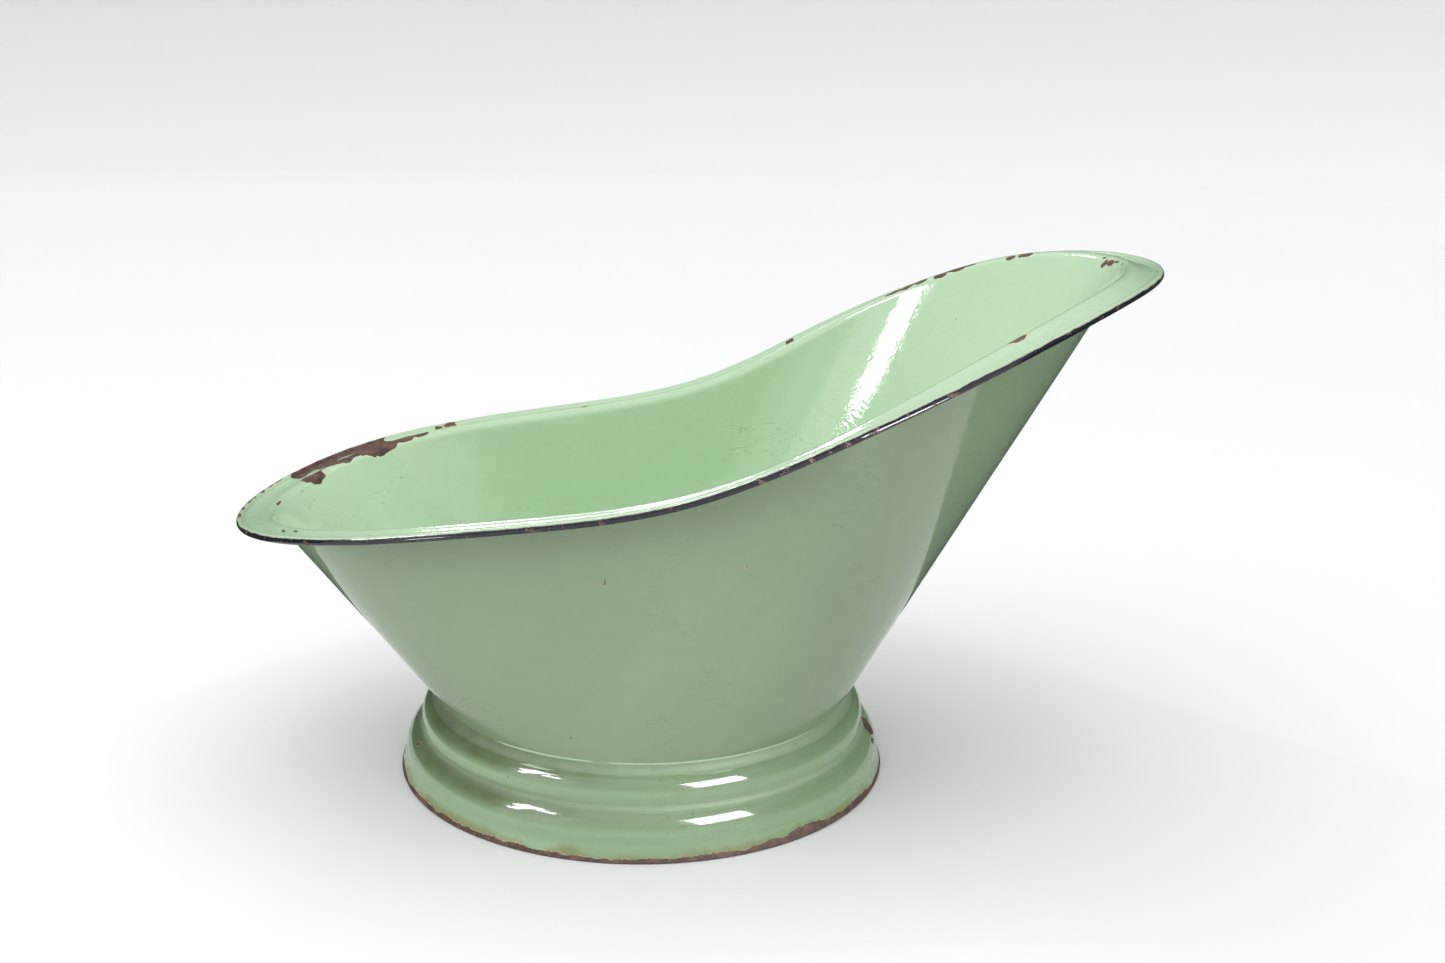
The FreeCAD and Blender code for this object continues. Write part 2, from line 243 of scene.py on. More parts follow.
# the inner face and the flange; keep marks an island of enamel that is left inside a patch
INNER_CHIPS = [
    # the long bare patch on the flange at the low front
    Chip(165.5, 20, 46, 26),
    Chip(160, 16, 60, 35),
    Chip(154.5, 11, 64, 38),
    Chip(150, 8, 44, 20),
    Chip(147.0, 4, 22, 9),
    Chip(168.4, 2, 32, 20),
    Chip(166.6, 12, 28, 9, -0.1, keep=True),
    Chip(159.2, 15, 20, 5, 0.1, keep=True),
    Chip(149.2, 21, 34, 11, keep=True),
    Chip(141.7, 24, 12, 5),
    Chip(143.6, 22, 6, 5),
    # small chips at the low front's tip and along its crest
    Chip(175.8, 27, 9, 3),
    Chip(178.6, 27, 6, 2.5),
    Chip(171.2, 28, 12, 3),
    Chip(181.2, 0, 14, 3.5),
    Chip(203.1, 12, 12, 3.6, 0.4),
    Chip(205.6, 10, 10, 3.2, 0.3),
    Chip(218.5, 1, 17, 5),
    Chip(173.4, 28, 13, 4),
    Chip(180.4, 28, 17, 3.4),
    Chip(184.0, 28, 13, 3.8),
    Chip(188.2, 28, 18, 3.4),
    # the worn crest at the high back
    Chip(50.6, 1, 20, 4.5),
    Chip(48.4, 0, 18, 6.5),
    Chip(45.6, 0, 14, 6),
    Chip(42.0, -1, 15, 7),
    Chip(38.6, 0, 20, 6.5),
    Chip(36.4, 1, 13, 5),
    Chip(28.6, -2, 14, 6),
    Chip(25.6, -1, 17, 7),
    Chip(6.0, -8, 10, 10),
    Chip(4.0, -6, 15, 6),
    Chip(2.2, -3, 11, 4),
    Chip(7.2, -2, 6, 5),
    Chip(359.3, -2, 5, 3),
    # the oval chip at the near crest, and pits in the wall
    Chip(321.1, 4, 22, 8, 0.1),
    Chip(6.1, -28, 3, 2.5),
    Chip(167.2, -24, 2.6, 2.2),
    Chip(118.0, 6, 8, 3),
    Chip(70.0, 23, 10, 4),
    Chip(240.0, 25, 7, 2.5),
    Chip(286.0, 24, 9, 3),
]

# the outer face: pits and bruises in the wall
OUTER_CHIPS = [
    Chip(242.0, -142, 4.0, 3.6),
    Chip(232.6, -198, 7, 2.6, 0.3),
    Chip(228.2, -196, 4, 2.4),
    Chip(255.0, -60, 1.8, 5),
    Chip(254.5, -75, 1.6, 5.5),
    Chip(291.2, -112, 7, 1.2, 0.2),
    Chip(287.6, -102, 11, 1.0, 0.1),
    Chip(131.0, -120, 9, 7),
    Chip(63.0, -210, 16, 9),
    Chip(20.0, -300, 12, 8),
    Chip(356.0, -420, 20, 10),
    Chip(96.0, -180, 5, 5),
]


def chip_field(chips, rim_frames, travel, across, points, seed):
    """The deepest patch at each point, less the islands of enamel that are left in it."""
    wobble = 1.6 * MM * waves(points, 9 * MM, seed) + 0.9 * MM * waves(points, 4 * MM, seed + 1)
    field = np.full(len(travel), FAR)
    for chip in chips:
        depth = chip.depth(rim_frames, travel, across, wobble)
        field = np.minimum(field, -depth) if chip.keep else np.maximum(field, depth)
    return field


# ---------------------------------------------------------------- tub wall, flange and rolled edge

WALL_ROWS = 34
WALL_CROWDING = 0.85               # towards 1, the rows crowd together at the neck and the bend
BEND_ROWS = 9
FLANGE_ROWS = 10
UNDER_ROWS = 7
FILLET_ROWS = 6
BEAD_ROWS = 21
NECK_BLEND = 12 * MM               # the wall turns upright over this length above the neck
BEAD_FILLET = 3 * MM               # the enamel lies this round between the flange and its edge
FLANGE_HOLLOW = 0.3 * MM
WALL_WAVE = 0.35 * MM              # how far the hand-finished sheet wanders
EDGE_RIPPLE = 0.12 * MM
CALM_OVER_NECK = 60 * MM           # the wall's waves grow over this height above the neck,
CALM_TO_BEND = (4 * MM, 50 * MM)   # and between these distances below the bend
WANDER = (120 * MM, 8)             # wavelength and seed, as for all waves below
SHORT_WANDER, SHORT_SHARE = (47 * MM, 9), 0.45
RIPPLE = (30 * MM, 12)
BLACK_FROM = math.radians(48)      # the rolled edge is dipped black from here, over the outside,
BLACK_TO = math.radians(-128)      # to here


def wall_rows(rims, side):
    """From the neck up to the bend, with how far each row lies from the rim line."""
    foot, top = rims.neck_point(side), rims.bend_point(side, 0)
    run = top - foot
    length = np.linalg.norm(run, axis=1, keepdims=True)
    direction = run / length
    rows, across = [], []
    even = np.linspace(0, 1, WALL_ROWS, endpoint=False)
    for share in even - WALL_CROWDING * np.sin(2 * math.pi * even) / (2 * math.pi):
        climbed = share * length
        # inside, the first stretch leaves the neck upright and then joins the straight wall
        blend = np.clip(climbed / NECK_BLEND, 0, 1)
        rise = blend * (1 - blend) ** 2 * NECK_BLEND * (side > 0)
        rows.append(foot + direction * (climbed - rise) + rise * np.array([0, 0, 1.0]))
        across.append(-(length - climbed + rims.setback)[:, 0])
    return rows, across


def bead_fillet():
    """Centre of the fillet between the flange's upper face and the rolled edge: how far out over
    the flange and how far up it lies from the centre of the edge."""
    rise = TUB_GAUGE / 2 - BEAD_LIFT + BEAD_FILLET
    apart = BEAD_RADIUS + BEAD_FILLET
    return -math.sqrt(apart ** 2 - rise ** 2), rise


class TubRows:
    """The rows of the tub's sheet in order, with what the marks need to know at every point."""

    def __init__(self, rims):
        self.rims = rims
        self.points, self.across, self.black, self.inner = [], [], [], []

    def add(self, points, across, black=FAR, inner=True):
        everywhere = np.ones(AROUND_TUB)
        self.points.append(points)
        self.across.append(across * everywhere)
        self.black.append(black * everywhere)
        self.inner.append(inner * everywhere)

    def bend(self, side):
        shares = np.linspace(0, 1, BEND_ROWS)
        for share in shares if side > 0 else shares[::-1]:
            across = (share * 2 - 1) * self.rims.setback[:, 0]
            self.add(self.rims.bend_point(side, share), across, inner=side > 0)

    def flange(self, start, end, count, inner):
        """Across the flange, with a shallow hollow where the sheet was worked."""
        near, far = self.rims.setback[:, 0], FLANGE_WIDTH - BEAD_RADIUS
        for share in np.linspace(0, 1, count + 2)[1:-1]:
            hollow = FLANGE_HOLLOW * math.sin(math.pi * share) ** 2
            out = share if inner else 1 - share
            across = near * (1 - out) + far * out
            self.add(start + (end - start) * share - self.rims.up * hollow, across, inner=inner)


def tub_rows(rims):
    """Up the inner face, over the flange, round the rolled edge, and down the outer face."""
    rows = TubRows(rims)
    for points, across in zip(*wall_rows(rims, 1)):
        rows.add(points, across)
    rows.bend(1)
    aside, rise = bead_fillet()
    joined = math.atan2(rise, aside)
    edge_across = FLANGE_WIDTH - BEAD_RADIUS
    hollow_end = rims.bead + rims.flange * aside + rims.up * (rise - BEAD_FILLET)
    rows.flange(rims.bend_point(1, 1), hollow_end, FLANGE_ROWS, True)
    for angle in np.linspace(-math.pi / 2, joined - math.pi, FILLET_ROWS, endpoint=False):
        out = aside + BEAD_FILLET * math.cos(angle)
        up = rise + BEAD_FILLET * math.sin(angle)
        rows.add(rims.bead + rims.flange * out + rims.up * up, FLANGE_WIDTH + out)
    last = -math.pi + math.asin((TUB_GAUGE / 2 + BEAD_LIFT) / BEAD_RADIUS)
    for angle in np.linspace(joined, last, BEAD_ROWS):
        black = min(BLACK_FROM - angle, angle - BLACK_TO) * BEAD_RADIUS
        rows.add(rims.bead_point(angle), edge_across + (joined - angle) * BEAD_RADIUS, black)
    rows.flange(rims.bead_point(last), rims.bend_point(-1, 1), UNDER_ROWS, False)
    rows.bend(-1)
    for points, across in list(zip(*wall_rows(rims, -1)))[::-1]:
        rows.add(points, across, inner=False)
    return rows


def tub_wall(rims):
    """The tub's sheet in one piece: wall, flange and rolled edge, both faces."""
    rows = tub_rows(rims)
    # outer face upwards, as every ring here is ordered
    ordered = rows.points[::-1]
    points, across = np.concatenate(ordered), np.concatenate(rows.across[::-1])
    inner, black = np.concatenate(rows.inner[::-1]), np.concatenate(rows.black[::-1])
    travel = np.tile(rims.travel, len(ordered))
    field = np.where(inner > 0.5,
                     chip_field(INNER_CHIPS, rims, travel, across, points, 2),
                     chip_field(OUTER_CHIPS, rims, travel, across, points, 5))

    # the sheet wanders a little, both faces together, and a chip is a real hollow in the enamel
    normals = section_normals(ordered)
    outward = np.tile(rims.outward, (len(ordered), 1))
    over_neck = points[:, 2] - NECK_HEIGHT
    calm = smooth_step(0, CALM_OVER_NECK, over_neck) * smooth_step(*CALM_TO_BEND, -across)
    wander = waves(points, *WANDER) + SHORT_SHARE * waves(points, *SHORT_WANDER)
    ripple = EDGE_RIPPLE * waves(points, *RIPPLE) * (1 - calm)
    hollow = ENAMEL * smooth_step(*CHIP_SLOPE, field)
    moved = points + outward * (WALL_WAVE * wander * calm)[:, None]
    moved += normals * (ripple - hollow)[:, None]
    shaped = list(moved.reshape(len(ordered), AROUND_TUB, 3))
    # where the flange's painted shade applies
    flange = smooth_step(-7 * MM, 3 * MM, across) * inner
    fields = {"bare": field / MM, "black": black / MM, "inner": inner, "flange": flange}
    return ring_mesh("tub_sheet", shaped, True, fields)


# ---------------------------------------------------------------- round pieces: foot, bottom, joint

AROUND_FOOT = 480
STEP = 1.1 * MM                    # spacing of the points along a turned outline


class Outline:
    """A run of points in a half section, as (radius, height), made of lines and tangent arcs."""

    def __init__(self, r, z):
        self.points = [(r, z)]

    def line(self, r, z):
        r0, z0 = self.points[-1]
        count = max(1, math.ceil(math.hypot(r - r0, z - z0) / (2.2 * STEP)))
        for i in range(1, count + 1):
            self.points.append((r0 + (r - r0) * i / count, z0 + (z - z0) * i / count))
        return self

    def arc(self, centre, radius, start, end, step=STEP):
        """Degrees, anticlockwise from the outward direction when end is greater than start."""
        count = max(2, math.ceil(abs(math.radians(end - start)) * radius / step))
        for i in range(count + 1):
            angle = math.radians(start + (end - start) * i / count)
            r, z = centre[0] + radius * math.cos(angle), centre[1] + radius * math.sin(angle)
            self.points.append((r, z))
        return self

    def offset(self, distance):
        """The same run moved to its left-hand side."""
        p = np.array(self.points)
        along = np.gradient(p, axis=0)
        along /= np.linalg.norm(along, axis=1, keepdims=True)
        return [tuple(q) for q in p + distance * np.stack([-along[:, 1], along[:, 0]], axis=1)]


def without_repeats(points, gap=0.05 * MM):
    kept = [points[0]]
    for p in points[1:]:
        if math.dist(p, kept[-1]) > gap:
            kept.append(p)
    return kept


def turned_rows(outline, around):
    """The outline turned about the upright axis, as rows of points that go once round."""
    angles = np.linspace(0, 2 * math.pi, around, endpoint=False)
    return [np.stack([r * np.cos(angles), r * np.sin(angles), np.full(around, z)], axis=1)
            for r, z in outline]


# outline of the foot, upwards from the floor
FOOT_GAUGE = 1.6 * MM
LOWER_FACE = 214 * MM              # radius of the plumb band above the flare
FLARE_TOP = 12 * MM
FLARE_BEND = 9 * MM
LOWER_ROLL = ((193 * MM, 19.5 * MM), 21 * MM)    # centre as radius and height, and the roll's radius
UPPER_FACE = 200 * MM              # radius of the plumb band above the lower roll
UPPER_ROLL = ((184 * MM, 49 * MM), 16 * MM)
SEAT_INNER = 168 * MM              # the tub's bottom rests on a seat from here outwards
CREASE = 5.0 * MM                  # the enamel's fillet in the crease between the rolls
PAN_LAND = 166 * MM                # the pan is dished inside this radius
PAN_START = 0.1                    # degrees of the dish's arc left to the middle
DISH_STEP = 3.5 * MM
NECK_FILLET = 8 * MM
JOINT_STEPS, HIDDEN_STEPS = 22, 7
CORNER_SWEEP = -75                 # degrees of the pan's corner that the fillet backs on to
HEM_INNER = 213.8 * MM
HEM_TOP = 7 * MM
HEM_ROUND = 1.5 * MM
HEM_BARE = 4 * MM
PAN_CORNER = NECK_HEIGHT - SEAT_HEIGHT
STAIN_RISE = 7 * MM
LEDGE_SLOPE = (0.10, 0.70)         # dirt and painted shade lie where the surface faces up at least this much
LEDGE_FROM = (14 * MM, 24 * MM)    # and not on the flare
GROOVE_REACH = (1 * MM, 6 * MM)
# the dirt and painted shade keep this share away from the low front's side, and rise to full towards it
# as painted shade
SHARE_AWAY_FROM_FRONT, FRONT_FROM = 0.32, (-40 * MM, 150 * MM)
PATCH_EDGE, PATCH_TEETH = (14 * MM, 21), (5 * MM, 22)
FOOT_RIPPLE, SHORT_RIPPLE = (34 * MM, 23), (13 * MM, 24)
STAIN_WAVES = (30 * MM, 25)
PAN_BLOTCHES = (26 * MM, 31)
GROOVE_DIRT_AND_SHADE = 0.6                  # how much dirt and painted shade the groove gets beside the ledges
FOOT_CHIP_SHARE = 0.6              # the foot's chips are this deep beside the tub's


def crease_angle():
    """Where the lower roll meets a fillet that also touches the upper plumb face."""
    (centre, _), radius = LOWER_ROLL
    return math.degrees(math.acos((UPPER_FACE + CREASE - centre) / (radius + CREASE)))


def groove_height():
    """Where the crease between the rolls is deepest."""
    (_, roll_z), radius = LOWER_ROLL
    return roll_z + (radius + 0.6 * CREASE) * math.sin(math.radians(crease_angle()))


def more_in_front(points):
    """The share of dirt and painted shade at each point, most on the low front's side, where the extra
    is painted shade.
    """
    return SHARE_AWAY_FROM_FRONT + (1 - SHARE_AWAY_FROM_FRONT) * smooth_step(*FRONT_FROM, -points[:, 0])


def foot_outline():
    """The outer face from the hem up: flare, lower roll, crease, upper roll and seat."""
    turn = crease_angle()
    (roll_r, roll_z), roll = LOWER_ROLL
    crease = (UPPER_FACE + CREASE, roll_z + (roll + CREASE) * math.sin(math.radians(turn)))
    lean = math.degrees(math.atan2(FOOT_RADIUS - LOWER_FACE, FLARE_TOP))
    flare_top = FLARE_TOP + FLARE_BEND * math.tan(math.radians(lean / 2))
    flare_centre = (LOWER_FACE + FLARE_BEND, flare_top)
    outer = Outline(FOOT_RADIUS - HEM_ROUND * math.sin(math.radians(lean)), HEM_ROUND)
    outer.arc(flare_centre, FLARE_BEND, 180 + lean, 180)
    outer.line(LOWER_FACE, roll_z)
    outer.arc((roll_r, roll_z), roll, 0, turn)
    outer.arc(crease, CREASE, 180 + turn, 180)
    outer.line(UPPER_FACE, UPPER_ROLL[0][1])
    outer.arc(*UPPER_ROLL, 0, 90)
    outer.line(SEAT_INNER, SEAT_HEIGHT)
    return outer


def foot_section():
    """The whole closed outline: outer face, seat's edge, inner face and the hem folded inside."""
    outer = foot_outline()
    inner = [p for p in outer.offset(FOOT_GAUGE)[::-1] if p[1] > HEM_TOP + 0.5 * MM]
    hem = Outline(HEM_INNER + FOOT_GAUGE, HEM_TOP + 0.4 * MM).line(HEM_INNER + 0.4 * MM, HEM_TOP)
    hem.line(HEM_INNER, HEM_TOP - 0.5 * MM).line(HEM_INNER, HEM_ROUND)
    hem.arc((HEM_INNER + HEM_ROUND, HEM_ROUND), HEM_ROUND, 180, 270)
    hem.line(FOOT_RADIUS - 1.6 * HEM_ROUND, 0)
    hem.arc((FOOT_RADIUS - 1.5 * HEM_ROUND, HEM_ROUND), HEM_ROUND, 270, 350)
    points = without_repeats(outer.points + inner + hem.points)
    return points, len(outer.points)


# how high the enamel has gone at the foot's edge: angle round the foot, height, spread in degrees
EDGE_LOSS = [
    (-47, 9, 7), (-56, 6.5, 6), (-38, 6, 5), (-27, 6.5, 9), (-12, 5.5, 8), (-72, 5, 8),
    (-88, 4.2, 7), (-104, 4.6, 6), (-118, 5, 7), (-131, 5.4, 8), (-147, 5, 9), (-165, 5.5, 9),
    (15, 6, 12), (48, 7, 10), (95, 5.5, 14), (131, 8, 8), (162, 5, 10),
]
EDGE_LEAST = 3.4                   # elsewhere the edge is bare up to this height, in mm

# chips on the rolls: angle round the foot, height, length along, height of the patch
FOOT_CHIPS = [
    (-4, 34, 22, 9), (-8, 29, 13, 5), (-1, 38, 11, 6), (28, 61, 9, 5), (118, 33, 16, 6),
    (74, 60, 6, 4), (-158, 35, 5, 3),
]


def turn_apart(angle, other):
    """The smallest signed turn between two directions, in degrees."""
    return (angle - other + 180) % 360 - 180


def edge_line(angle):
    """How high the enamel has gone, round the foot's lower edge."""
    edge = np.full(len(angle), EDGE_LEAST * MM)
    for at, high, spread in EDGE_LOSS:
        bump = EDGE_LEAST + (high - EDGE_LEAST) * np.exp(-(turn_apart(angle, at) / spread) ** 2)
        edge = np.maximum(edge, bump * MM)
    return edge


def foot_bare(points, angle, edge, is_outer):
    """How far inside bare metal each point of the foot lies."""
    height = points[:, 2]
    rough = 1.5 * MM * waves(points, *PATCH_EDGE) + 0.8 * MM * waves(points, *PATCH_TEETH)
    field = edge + rough - height
    radius = np.hypot(points[:, 0], points[:, 1])
    for at, high, length, width in FOOT_CHIPS:
        along = np.radians(turn_apart(angle, at)) * radius / (length / 2 * MM)
        up = (height - high * MM) / (width / 2 * MM)
        depth = (1 - np.hypot(along, up)) * width / 2 * MM + 0.5 * rough
        field = np.maximum(field, depth)
    # inside, bare metal shows up to the hem's fold
    return np.where(is_outer, field, np.maximum(field, HEM_BARE + rough - height))


def foot_dirt_and_shade(points, normals):
    """Dirt and painted shade on the ledges and in the groove, and the groove by itself."""
    height = points[:, 2]
    ledge = smooth_step(*LEDGE_SLOPE, normals[:, 2]) * smooth_step(*LEDGE_FROM, height)
    groove = 1 - smooth_step(*GROOVE_REACH, np.abs(height - groove_height()))
    return np.maximum(ledge, GROOVE_DIRT_AND_SHADE * groove) * more_in_front(points), groove


def foot_ring():
    """The stepped foot, one sheet ring with both its faces and its hem."""
    outline, outer_count = foot_section()
    rows = turned_rows(outline, AROUND_FOOT)
    points = np.concatenate(rows)
    height = points[:, 2]
    angle = np.degrees(np.arctan2(points[:, 1], points[:, 0]))
    is_outer = np.repeat(np.arange(len(rows)) < outer_count, AROUND_FOOT)
    edge = edge_line(angle)
    field = foot_bare(points, angle, edge, is_outer)

    normals = section_normals(rows)
    ripple = 0.10 * MM * waves(points, *FOOT_RIPPLE) + 0.05 * MM * waves(points, *SHORT_RIPPLE)
    ripple *= smooth_step(2 * MM, 8 * MM, height)
    worn = FOOT_CHIP_SHARE * ENAMEL * smooth_step(*CHIP_SLOPE, field)
    moved = points + normals * (ripple - worn)[:, None]
    moved[:, 2] = np.clip(moved[:, 2], 0, None)
    shaped = list(moved.reshape(len(rows), AROUND_FOOT, 3))
    stain = edge + STAIN_RISE * (0.6 + waves(points, *STAIN_WAVES)) - height
    # dirt and painted shade: the foot's ledges and groove get a darker colour
    dirt_and_shade, groove = foot_dirt_and_shade(points, normals)
    fields = {"bare": field / MM, "stain": stain / MM, "dirt_and_shade": dirt_and_shade, "groove": groove}
    return ring_mesh("foot_sheet", shaped, True, fields)


def tub_bottom():
    """The pressed pan: a shallow dish, a land, and a corner that turns up to meet the wall."""
    depth = SEAT_HEIGHT - pan_low.z
    dish = (PAN_LAND ** 2 + depth ** 2) / (2 * depth)
    tilt = math.degrees(math.asin(PAN_LAND / dish))
    under = Outline(0, pan_low.z)
    under.arc((0, pan_low.z + dish), dish, -90 + PAN_START, -90 + tilt, DISH_STEP)
    under.line(NECK_RADIUS - PAN_CORNER, SEAT_HEIGHT)
    under.arc((NECK_RADIUS - PAN_CORNER, NECK_HEIGHT), PAN_CORNER, -90, 0)
    outline = without_repeats(under.points[1:] + under.offset(TUB_GAUGE)[:0:-1])
    rows = turned_rows(outline, AROUND_FOOT)
    bare = 0.5 * MM * waves(np.concatenate(rows), *PAN_BLOTCHES) - 1.2 * MM
    return ring_mesh("bottom_pan", rows, False, {"bare": bare / MM})


def joint_section(facing, neck, top):
    """The fillet's half section at one station: its open face, then its back on the pan and the roll."""
    (roll_r, roll_z), roll = UPPER_ROLL
    lean = math.atan2((top - neck) @ facing, top[2] - neck[2])
    # the fillet's centre lies its own radius off the wall and off the roll
    start = np.array([NECK_RADIUS + NECK_FILLET * math.cos(lean),
                      NECK_HEIGHT - NECK_FILLET * math.sin(lean)])
    from_roll = start - [roll_r, roll_z]
    up_wall = np.array([math.sin(lean), math.cos(lean)])
    b = from_roll @ up_wall
    c = from_roll @ from_roll - (roll + NECK_FILLET) ** 2
    centre = start + (math.sqrt(b * b - c) - b) * up_wall
    low = math.degrees(math.atan2(roll_z - centre[1], roll_r - centre[0])) % 360
    high = 180 - math.degrees(lean)
    touch = math.degrees(math.atan2(centre[1] - roll_z, centre[0] - roll_r))
    pan_corner = (NECK_RADIUS - PAN_CORNER, NECK_HEIGHT)
    arcs = [(np.linspace(low, high, JOINT_STEPS), centre, NECK_FILLET),
            (np.linspace(0, CORNER_SWEEP, HIDDEN_STEPS), pan_corner, PAN_CORNER),
            (np.linspace(90, touch, HIDDEN_STEPS)[:-1], (roll_r, roll_z), roll)]
    return [(middle[0] + radius * math.cos(angle), middle[1] + radius * math.sin(angle))
            for angles, middle, radius in arcs for angle in np.radians(angles)]


def neck_joint(rims):
    """The enamelled fillet in the groove between the tub's wall and the foot."""
    sections = []
    for facing, neck, top in zip(rims.facing, rims.neck_point(-1), rims.bend_point(-1, 0)):
        section = joint_section(facing, neck, top)
        sections.append([(facing[0] * r, facing[1] * r, z) for r, z in section])
    rows = list(np.array(sections).transpose(1, 0, 2))
    share = np.zeros(len(rows))
    share[:JOINT_STEPS] = smooth_step(0, 0.15, np.linspace(1, 0, JOINT_STEPS))
    groove = np.repeat(share, AROUND_TUB)
    # dirt and painted shade: the joint's colour darkens over the groove, more on the low front's side
    dirt_and_shade = groove * more_in_front(np.concatenate(rows))
    return ring_mesh("neck_joint", rows, True, {"dirt_and_shade": dirt_and_shade, "groove": groove})


# ---------------------------------------------------------------- materials

GREEN_INSIDE_LIT = (0.433, 0.600, 0.395, 1)    # the lit copy of the green: painted light on the inside
GREEN_OUTSIDE_SHADED = (0.233, 0.315, 0.190, 1)   # the shaded copy of the same green: painted shade on the outside
GREEN_FOOT = (0.254, 0.373, 0.213, 1)
GROUND_COAT = (0.560, 0.500, 0.270, 1)
BLACK_ENAMEL = (0.012, 0.012, 0.020, 1)
BLACK_FRINGE = (0.300, 0.260, 0.200, 1)    # where the black coat thins out over the green
SCRATCH = (0.150, 0.100, 0.050, 1)
# dirt, and painted shade on the foot's ledges, groove and joint
DIRT_AND_SHADE = (0.080, 0.105, 0.042, 1)
STAIN_YELLOW = (0.260, 0.250, 0.090, 1)
STAIN_BROWN = (0.170, 0.110, 0.045, 1)
RUST_DARK = (0.048, 0.024, 0.018, 1)
RUST_WARM = (0.125, 0.056, 0.034, 1)
RUST_ORANGE = (0.300, 0.120, 0.045, 1)
STEEL = (0.300, 0.290, 0.280, 1)

GLASS_IOR = 1.52
ENAMEL_GLOSS = 0.07                # roughness where the glass is clean
ENAMEL_WORN = 0.16                 # roughness where it is rubbed
GROOVE_ROUGH = 0.62                # how much rougher the grooves are
RUST_ROUGH = 0.82
FLANGE_PAINTED_SHADE = 0.845              # painted shade: the flange's upward face is painted darker than the wall inside
# how strongly the dirt and painted shade darken the colour
DIRT_AND_SHADE_SHARE = 0.88
STAIN_SHARE = 0.62
SCRATCH_SHARE = 0.55

PEEL_RELIEF = 0.060 * MM           # the waves that the glass froze in
FINE_PEEL_RELIEF = 0.030 * MM
PEEL_INSIDE = 2.4                  # how many times deeper the waves are on the inside
RUST_RELIEF = 0.22 * MM
RUST_DEPTH = 0.30 * MM
WIRE_RELIEF = 0.04 * MM

# noise: the size of its features, its detail and its roughness
CLOUDS = (170 * MM, 3.0)
MOTTLE = (14 * MM, 5.0, 0.65)
RUBBING = (60 * MM, 5.0, 0.6)
PEEL = (6.5 * MM, 1.0)
FINE_PEEL = (3.2 * MM, 1.0)
SCRATCH_LINES = (26 * MM, 2.0, 0.5)
SCRATCHED_AREAS = (75 * MM, 1.0)
# patches in the dirt and painted shade
DIRT_AND_SHADE_PATCHES = (22 * MM, 4.0)
STAIN_DRIPS = (7 * MM, 4.0, 0.7)
STAIN_TINTS = (5 * MM, 3.0)
BLACK_OUTLINE = (12 * MM, 4.0, 0.6)
BLACK_WEAR = (9 * MM, 5.0, 0.62)
CHIP_OUTLINE = (4.5 * MM, 3.0, 0.65)
CHIP_TEETH = (1.3 * MM, 2.0)
GROUND_PATCHES = (8 * MM, 3.0)
RUST_BLOTCHES = (9 * MM, 4.0, 0.6)
RUST_GRAIN = (1.6 * MM, 3.0, 0.7)
WIRE_BLOTCHES = (6 * MM, 4.0, 0.6)
WIRE_GRAIN = (0.8 * MM, 3.0, 0.6)

PIT_SPACING = 34 * MM
PIT_RADIUS = 0.75 * MM
PIT_RARITY = 0.62


class Graph:
    """A material's node tree, with short calls for the nodes used here."""

    def __init__(self, name):
        self.material = bpy.data.materials.new(name)
        self.material.use_nodes = True
        self.tree = self.material.node_tree
        self.tree.nodes.clear()
        self.place = self.node("TexCoord").outputs["Object"]

    def node(self, kind, inputs=None, **settings):
        node = self.tree.nodes.new("ShaderNode" + kind)
        for key, value in settings.items():
            setattr(node, key, value)
        for key, value in (inputs or {}).items():
            if isinstance(value, bpy.types.NodeSocket):
                self.tree.links.new(value, node.inputs[key])
            else:
                node.inputs[key].default_value = value
        return node

    def field(self, name):
        return self.node("Attribute", attribute_name=name).outputs["Fac"]

    def maths(self, operation, a, b):
        return self.node("Math", {0: a, 1: b}, operation=operation).outputs[0]

    def sum(self, a, b):
        return self.maths("ADD", a, b)

    def product(self, a, b):
        return self.maths("MULTIPLY", a, b)

    def spread(self, value, low, high, to_low=0.0, to_high=1.0, soft=True):
        """The value's range from low to high, taken to another range and held at its ends."""
        inputs = {"Value": value, "From Min": low, "From Max": high, "To Min": to_low, "To Max": to_high}
        kind = "SMOOTHSTEP" if soft else "LINEAR"
        return self.node("MapRange", inputs, interpolation_type=kind).outputs["Result"]

    def grain(self, size, detail=2.0, rough=0.5, place=None, distortion=0.0):
        """Noise from 0 to 1 whose features are about this size, in metres."""
        inputs = {"Vector": place or self.place, "Scale": 1 / size, "Detail": detail,
                  "Roughness": rough, "Distortion": distortion}
        return self.node("TexNoise", inputs).outputs["Fac"]

    def ragged(self, noise_kind, reach):
        """Noise about zero that breaks up a mark's outline, in millimetres."""
        return self.product(self.sum(self.grain(*noise_kind), -0.5), reach)

    def stretched(self, x, y, z):
        return self.node("Mapping", {"Vector": self.place, "Scale": (x, y, z)}).outputs["Vector"]

    def mix(self, share, a, b):
        """Two colours mixed."""
        return self.node("Mix", {0: share, 6: a, 7: b}, data_type="RGBA").outputs[2]

    def blend(self, share, a, b):
        """Two numbers mixed."""
        return self.node("Mix", {0: share, 2: a, 3: b}).outputs[0]

    def scaled(self, colour, factor):
        """The colour made lighter or darker."""
        plain_colour = colour[:3] if isinstance(colour, tuple) else colour
        node = self.node("VectorMath", {0: plain_colour, "Scale": factor}, operation="SCALE")
        return node.outputs["Vector"]

    def pits(self, spacing, radius, rarity):
        """1 inside rare small round pits."""
        cells = self.node("TexVoronoi", {"Vector": self.place, "Scale": 1 / spacing})
        near = self.spread(cells.outputs["Distance"], radius / spacing, radius / spacing * 0.6)
        chosen = self.spread(cells.outputs["Color"], rarity, rarity + 0.01)
        return self.product(near, chosen)

    def finish(self, inputs, height):
        """The surface, with a relief in metres."""
        bump = self.node("Bump", {"Strength": 1.0, "Distance": 1.0, "Height": height})
        surface = self.node("BsdfPrincipled", dict(inputs, Normal=bump.outputs["Normal"]))
        self.node("OutputMaterial", {"Surface": surface.outputs["BSDF"]})
        return self.material


